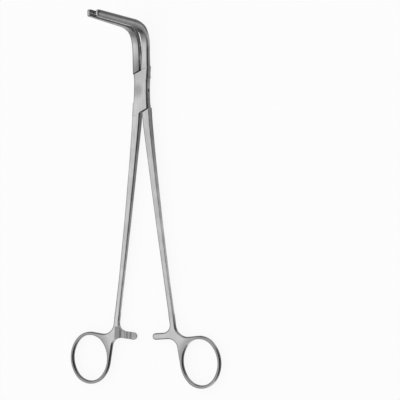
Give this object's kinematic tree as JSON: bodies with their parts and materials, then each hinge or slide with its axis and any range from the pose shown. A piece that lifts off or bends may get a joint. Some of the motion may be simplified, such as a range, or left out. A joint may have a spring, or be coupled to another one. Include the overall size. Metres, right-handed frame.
{
  "type": "hysterectomy forceps",
  "caption": "Long ring-handled box-lock forceps with ratchet bars and slim grooved jaws bent at a right angle, for gripping tissue deep in a cavity.",
  "frame": {"origin": "on the lock pin's axis, at the back face of the lock", "axes": "+Y along the instrument from the rings to the jaws, X the way the jaws open with the right-hand jaw at +X, +Z along the lock pin to the side that the jaws bend to"},
  "size_m": [0.1052, 0.2445, 0.0802],
  "materials": {
    "satin_steel": "satin, glass-bead blasted stainless steel with finely brushed edges",
    "polished_pin": "ground flush and polished"
  },
  "bodies": {
    "female_half": {"female_arm": "satin_steel", "lock_pin": "polished_pin"},
    "male_half": {"male_arm": "satin_steel"}
  },
  "joints": [
    {"name": "box_lock_pivot", "type": "hinge", "parent": "female_half", "child": "male_half", "pos_m": [0, 0, 0.0031], "axis": [0, 0, 1], "range_deg": [-4.5, 25]}
  ]
}
